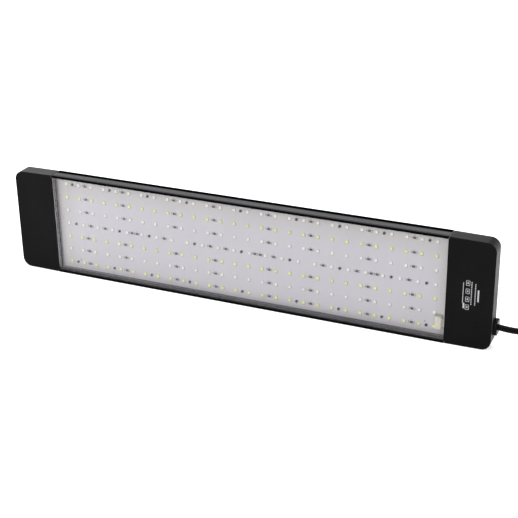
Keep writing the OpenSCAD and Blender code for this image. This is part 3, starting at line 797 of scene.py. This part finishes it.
ties = make_ties()
plug_pieces = [make_grip(), make_relief(), *make_pins()]


# ---------- gland ----------

# Along the block from the cap: distance, how far in from its sides, and corner radius, all in mm.
GLAND_BLOCK = [(0.0, 0.15, 2.5), (0.2, 0.0, 2.6), (1.1, 0.0, 2.6), (1.25, 0.35, 2.3), (1.6, 0.35, 2.3),
               (1.75, 0.0, 2.6), (4.5, 0.0, 2.6), (4.8, 0.12, 2.5), (5.0, 0.4, 2.3)]
GLAND_MOUTH_R, GLAND_LIP_R, GLAND_BORE_R, GLAND_LIP = mm(4.6), mm(3.75), mm(3.7), mm(0.4)


def make_gland():
    """The lead entry: a rounded upright block with a groove round it near the cap, and a dished mouth."""
    start, end = gland_lo.x, gland_hi.x
    half_w, half_h = (gland_hi.y - gland_lo.y) / 2, (gland_hi.z - gland_lo.z) / 2
    rings = [[(start + mm(x), a, GLAND_Z + b)
              for a, b in round_rect(half_w - mm(inset), half_h - mm(inset), mm(radius), 8)]
             for x, inset, radius in GLAND_BLOCK]
    turns = [math.atan2(b - GLAND_Z, a) for _, a, b in rings[0]]
    for x, radius in ((end, GLAND_MOUTH_R), (end - GLAND_LIP, GLAND_LIP_R), (start, GLAND_BORE_R)):
        rings.append(hoop(x, 0, GLAND_Z, radius, turns))
    shape = Shape().loft(rings, closed=False)
    around = len(turns)
    last = (len(rings) - 1) * around
    shape.faces.extend((k, (k + 1) % around, last + (k + 1) % around, last + k) for k in range(around))
    return shape.piece("gland_cap_shell", LOOKS["gland_nylon"], "gland_nylon", ("gland_cap",), 35)


gland = make_gland()


# ---------- housing ----------

LEVEL = mm(0.01)                          # closer than this counts as the same depth
LONG_SIDE, PAST_ARC = mm(1.3), mm(39)     # how near a cap's long sides, or far from its seam, edges are eased
CAP_EDGES = (("front", mm(0.35)), ("rear", mm(0.9)))


def is_outer_edge(lo, hi, sign):
    """Picks a cap shell's front or rear outer edge, but not the side that meets the profile."""
    seam = sign * (hi.x if sign < 0 else lo.x)

    def outer(p):
        near_long = p.z < lo.z + LONG_SIDE or p.z > hi.z - LONG_SIDE
        return near_long or sign * p.x > seam + PAST_ARC

    def pick(edge):
        a, b = (v.co for v in edge.verts)
        flat = abs(a.y - b.y) < LEVEL
        skin = min(abs(a.y - FACE_Y), abs(a.y - BACK_Y)) < LEVEL
        return flat and skin and outer(a) and outer(b) and (a - b).length > mm(0.05)
    return pick


def make_caps():
    for side, sign in (("left", -1), ("right", 1)):
        for part, width in CAP_EDGES:
            node = f"{side}_cap_{part}"
            shell = eased(node, node + "_shell", width, is_outer_edge(*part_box(node), sign), 4)
            for vertex in shell.data.vertices:
                vertex.co.y = max(vertex.co.y, FACE_Y + FACE_INSET)


make_caps()


def head_rim(edge):
    """Picks the round rim of a board screw's head."""
    a, b = (v.co for v in edge.verts)
    on_face = abs(a.y - SCREW_TOP_Y) < 2 * LEVEL and abs(b.y - SCREW_TOP_Y) < 2 * LEVEL
    slants = [abs(f.normal.y) for f in edge.link_faces]
    return on_face and (a - b).length < mm(0.8) and max(slants) > 0.9 and min(slants) < 0.2


eased("board_screws", "board_screw_heads", mm(0.3), head_rim)
eased("wafer_connector", "board_connector", mm(0.25), lambda edge: edge.calc_length() > mm(2), 2)
eased("wire_plug", "connector_plug", mm(0.2), lambda edge: edge.calc_length() > mm(2.5), 2)

# Painted shade: a dark strip behind each end of the cover.
SHADE_STRIP_HALF_W, SHADE_STRIP_X = mm(0.65), mm(0.7)   # a strip's half width, and how far in from the cover's end
SHADE_STRIP_NEAR, SHADE_STRIP_FAR = mm(0.02), mm(0.4)   # how far behind the cover it starts and ends


def make_cover_end_shade():
    """A dark strip behind each end of the cover, shaped as a bead, put there to darken what the cover's ends
    show: painted shade.
    """
    half_h = (cover_hi.z - cover_lo.z) / 2 - mm(1)
    middle = (cover_hi.z + cover_lo.z) / 2
    shade_strips = [slab(SHADE_STRIP_HALF_W, half_h, mm(0.2), cover_hi.y + SHADE_STRIP_FAR, cover_hi.y + SHADE_STRIP_NEAR, mm(0.1),
                  x, middle, 2) for x in (cover_lo.x + SHADE_STRIP_X, cover_hi.x - SHADE_STRIP_X)]
    merged(shade_strips).piece("cover_end_shade_strips", LOOKS["black_silicone"], "black_silicone", (), 40)


make_cover_end_shade()


# ---------- lamps and board details ----------

def spots(columns, rows, pitch=PITCH_X):
    """Places on the board, row by row; a column number may fall between two lamps."""
    return [(FIRST_X + c * pitch, BOARD_Y, FIRST_Z - r * PITCH_Z) for r in rows for c in columns]


# From the foot to the middle: how far in from the package's side, corner radius, and how far behind
# the package's front, all in mm.
LAMP_WALL = ((0.0, 0.15, 0.14), (0.06, 0.14, 0.0), (0.26, 0.40, 0.0), (0.42, 0.34, 0.26))
LAMP_LENS = ((0.41, 0.34, 0.24), (0.30, 0.38, 0.06), (0.50, 0.34, 0.01), (0.90, 0.20, 0.0))
PAD_HALF_W, PAD_HALF_H, PAD_T = mm(0.85), mm(0.30), mm(0.10)
PAD_Z = LAMP_H / 2 + mm(0.18)


def lamp_rings(stations):
    return [facing(round_rect(LAMP_W / 2 - mm(inset), LAMP_H / 2 - mm(inset), mm(radius), 2),
                   mm(back) - LAMP_T) for inset, radius, back in stations]


def lamp_body():
    """A lamp package: straight sides, an eased rim and a dished pocket for the lens."""
    foot = facing(round_rect(LAMP_W / 2, LAMP_H / 2, mm(0.15), 2), 0)
    return Shape().loft([foot, *lamp_rings(LAMP_WALL)])


def lamp_lens():
    return Shape().loft(lamp_rings(LAMP_LENS))


def solder_pads():
    """The tinned pads that show past a lamp's two ends."""
    return merged([slab(PAD_HALF_W, PAD_HALF_H, mm(0.12), 0, -PAD_T, mm(0.05), 0, side * PAD_Z, 2)
                   for side in (-1, 1)])


def lamp_shadows():
    """Painted shadow: a darker corner beside and below a lamp, where the lamp's shadow falls."""
    return merged([mark(0.75, 3.9, 1.95, -0.5), mark(2.8, 0.6, 0.0, -2.4)])


def make_lamps():
    middle_row = spots(range(MID_COLUMNS), (MID_ROW,), MID_PITCH_X)
    for colour, rows, extra in (("white", WHITE_ROWS, middle_row), ("yellow", YELLOW_ROWS, [])):
        places = spots(range(COLUMNS), rows) + extra
        lamp_body().repeated(places).piece(colour + "_lamp_bodies", BODY_LOOK[colour], "lamp_body",
                                           (colour + "_lamps",), 30)
        lamp_lens().repeated(places).piece(colour + "_lamp_lenses", LOOKS[colour + "_lens"], colour + "_lens",
                                           (colour + "_lenses",), 50)
        solder_pads().repeated(places).piece(colour + "_lamp_pads", SOLDER, "bright_steel", (), 30)
        # Painted shadow of each lamp.
        lamp_shadows().repeated(places).piece(colour + "_lamp_shadows", LAMP_SHADOW_PAINT, "chip_ceramic", (), 0)


make_lamps()

# The chips' columns, counted in lamps from the left.
ROW_CHIPS = [7 * k + c for k in range(4) for c in (1.5, 4.5)]
MIDDLE_CHIPS = (1.5, 2.5, 4.33, 4.67, 6.5, 9.5, 10.5, 12.33, 12.67, 13.5, 16.5, 18.5, 19.33, 19.67, 21.5)
CHIP_W, CHIP_H, CHIP_T = mm(3.2), mm(1.6), mm(0.6)
END_HALF_W, END_OFFSET = mm(0.27), CHIP_W / 2 - mm(0.27)
FILLET_HALF_W, FILLET_T, FILLET_OFFSET = mm(0.22), mm(0.18), CHIP_W / 2 + mm(0.12)


def chip_body():
    return slab(CHIP_W / 2 - mm(0.45), CHIP_H / 2 - mm(0.05), mm(0.08), 0, mm(0.05) - CHIP_T, mm(0.06))


def chip_ends():
    """A chip's two tinned ends, each with a fillet of solder at its foot."""
    ends = [slab(END_HALF_W, CHIP_H / 2, mm(0.08), 0, -CHIP_T, mm(0.08), side * END_OFFSET, 0, 2)
            for side in (-1, 1)]
    fillets = [slab(FILLET_HALF_W, CHIP_H / 2 - mm(0.1), mm(0.1), 0, -FILLET_T, mm(0.12),
                    side * FILLET_OFFSET, 0, 2) for side in (-1, 1)]
    return merged(ends + fillets)


def chip_marks():
    """Plain printed marks round a chip: bars above and below, a dash, an arc at its left and a ring."""
    bars = [mark(w, h, x, z, 0.08)
            for w, h, x, z in ((2.7, 0.5, -0.2, 1.3), (2.7, 0.5, -0.2, -1.3), (0.9, 0.55, -0.1, 2.7))]
    sweep = [math.radians(122 + 116 * k / 12) for k in range(13)]
    crescent = oval(sweep, 2.3, 1.9, -1.4) + oval(sweep[::-1], 1.75, 1.45, -1.4)
    arc = Shape().loft([facing(crescent, 0), facing(crescent, -PRINT_T)])
    outer, inner = (oval(circle(24), radius, radius, 2.3, -0.1) for radius in (1.6, 1.15))
    return merged([*bars, arc, ring_band(outer, inner, 0, -PRINT_T)])


def make_chips():
    full_rows = sorted(WHITE_ROWS + YELLOW_ROWS)
    places = spots(ROW_CHIPS, full_rows) + spots(MIDDLE_CHIPS, (MID_ROW,), MID_PITCH_X)
    chip_body().repeated(places).piece("resistor_bodies", LOOKS["chip_ceramic"], "chip_ceramic",
                                       ("chip_resistors",), 30)
    chip_ends().repeated(places).piece("resistor_ends", TINNED_END, "bright_steel", (), 30)
    chip_marks().repeated(places).piece("board_marks", OUTLINE, "chip_ceramic", (), 0)


make_chips()

DOTS, DOT_R = ((-221.8, 113.4), (-221.8, 16.1), (222.0, 16.8)), 0.75      # X, Z and radius, in mm
OUTLINE_GAP, OUTLINE_W = mm(0.8), mm(0.4)
PINS, PIN_X_IN, PIN_Z_IN = 4, mm(0.3), mm(0.35)                           # the connector's pins


def connector_outline():
    """The printed line round the board connector."""
    half_w = (wafer_hi.x - wafer_lo.x) / 2 + OUTLINE_GAP
    half_h = (wafer_hi.z - wafer_lo.z) / 2 + OUTLINE_GAP
    outer = round_rect(half_w, half_h, mm(0.3), 2)
    inner = round_rect(half_w - OUTLINE_W, half_h - OUTLINE_W, mm(0.15), 2)
    return ring_band(outer, inner, BOARD_Y, BOARD_Y - PRINT_T,
                     (wafer_lo.x + wafer_hi.x) / 2, (wafer_lo.z + wafer_hi.z) / 2)


def pin_dark_spots():
    """A dark spot at each of the connector's pins."""
    foot, reach = wafer_pin_lo.z + PIN_Z_IN, wafer_pin_hi.z - wafer_pin_lo.z - 2 * PIN_Z_IN
    return mark(1.2, 1.24, radius=0.2).repeated(
        [(wafer_pin_lo.x + PIN_X_IN, BOARD_Y, foot + reach * k / (PINS - 1)) for k in range(PINS)])


def make_dots():
    """Round alignment dots on the board, the print round its connector, and dark spots at its pins."""
    disc = oval(circle(20), DOT_R, DOT_R)
    dot = Shape().loft([facing(disc, 0), facing(disc, -PRINT_T)])
    dots = dot.repeated([(mm(x), BOARD_Y, mm(z)) for x, z in DOTS])
    merged([dots, connector_outline(), pin_dark_spots()]).piece("board_dots", OUTLINE, "chip_ceramic", (), 0)


make_dots()


# ---------- plain print on the housing ----------

# All in millimetres: the middle's X and Z, then a width and a height, or a length along Z.
RATING_BARS = ((266.4, 65.3, 0.7, 24.5), (267.6, 50.2, 1.7, 6.5), (283.2, 64.0, 1.7, 14.0))
FRAMES_X, FRAMES_Z = 271.4, (77.5, 67.9, 58.3, 48.9)
DASHED_LINES = ((275.6, 66.0, 28.0), (279.8, 64.5, 27.0))
DASH_PITCH, DASH_W, DASH_H = 2, 1.1, 1.3


def cap_bar(x, z, w, h, radius=0.25):
    """A printed bar on the face of the cap."""
    return slab(mm(w) / 2, mm(h) / 2, mm(radius), FACE_Y + PRINT_T, FACE_Y, PRINT_EDGE, mm(x), mm(z), 3)


def small_frame(z):
    """A hollow rounded rectangle with a bar in it."""
    outer, inner = round_rect(mm(2.2), mm(3.0), mm(0.7), 3), round_rect(mm(1.7), mm(2.5), mm(0.5), 3)
    return [ring_band(outer, inner, FACE_Y + PRINT_T, FACE_Y, mm(FRAMES_X), mm(z)),
            cap_bar(FRAMES_X, z, 1.4, 2.2, 0.5)]


def dashes(x, z, length):
    """A line of small bars in place of a line of print."""
    top = z + length / 2
    return [cap_bar(x, top - (i + 0.5) * DASH_PITCH, DASH_W, DASH_H) for i in range(int(length / DASH_PITCH))]


def make_print():
    """Plain bars and frames on the right-hand cap, where the maker prints its rating."""
    blocks = [cap_bar(*bar) for bar in RATING_BARS]
    for z in FRAMES_Z:
        blocks += small_frame(z)
    for line in DASHED_LINES:
        blocks += dashes(*line)
    merged(blocks).piece("rating_bars", PRINT, "cap_plastic", (), 0)


make_print()


# ---------- floor and light ----------

FLOOR_HALF = 9
FLOOR_GLOW = 0.55
SKY = 0.6
# Name, place, aim, size and watts.
PANELS = (("overhead_panel", (-0.3, 0.1, 1.9), (0, 0, 0), (2.8, 1.6), 30),
          ("key_panel", (-0.5, -2.2, 1.5), (0, 0, 0.06), (0.6, 0.6), 19),
          ("back_panel", (-1.2, 2.1, 1.2), (-0.05, 0, 0.12), (1.9, 0.8), 22),
          ("side_panel", (1.6, 1.5, 0.6), (0.3, 0, 0.06), (0.9, 0.9), 9))


def make_floor():
    """A white light table: it glows a little, so nothing on it throws a dark shadow."""
    look = Look("studio_floor", (0.88, 0.88, 0.88), 0.8, 0.0, 0.05)
    look.colour(look.blend(look.noise(3, 2), (0.875, 0.875, 0.875), (0.885, 0.885, 0.885)))
    look.set("Emission Color", (1, 1, 1, 1))
    look.set("Emission Strength", FLOOR_GLOW)
    mesh = bpy.data.meshes.new("floor")
    corners = [(x * FLOOR_HALF, y * FLOOR_HALF, 0) for x, y in ((-1, -1), (1, -1), (1, 1), (-1, 1))]
    mesh.from_pydata(corners, [], [(0, 1, 2, 3)])
    mesh.materials.append(look.material)
    floor = bpy.data.objects.new("floor", mesh)
    bpy.context.scene.collection.objects.link(floor)


def area_light(name, place, target, size, power):
    data = bpy.data.lights.new(name, "AREA")
    data.shape, data.size, data.size_y = "RECTANGLE", *size
    data.energy = power
    light = bpy.data.objects.new(name, data)
    bpy.context.scene.collection.objects.link(light)
    light.location = place
    light.rotation_mode = "QUATERNION"
    light.rotation_quaternion = (Vector(target) - Vector(place)).to_track_quat("-Z", "Y")
    light.visible_camera = False


def make_light():
    world = bpy.data.worlds.new("studio")
    world.use_nodes = True
    background = world.node_tree.nodes["Background"].inputs
    background["Color"].default_value = (1, 1, 1, 1)
    background["Strength"].default_value = SKY
    bpy.context.scene.world = world
    for panel in PANELS:
        area_light(*panel)
    bpy.context.scene.view_settings.view_transform = "Standard"


make_floor()
make_light()
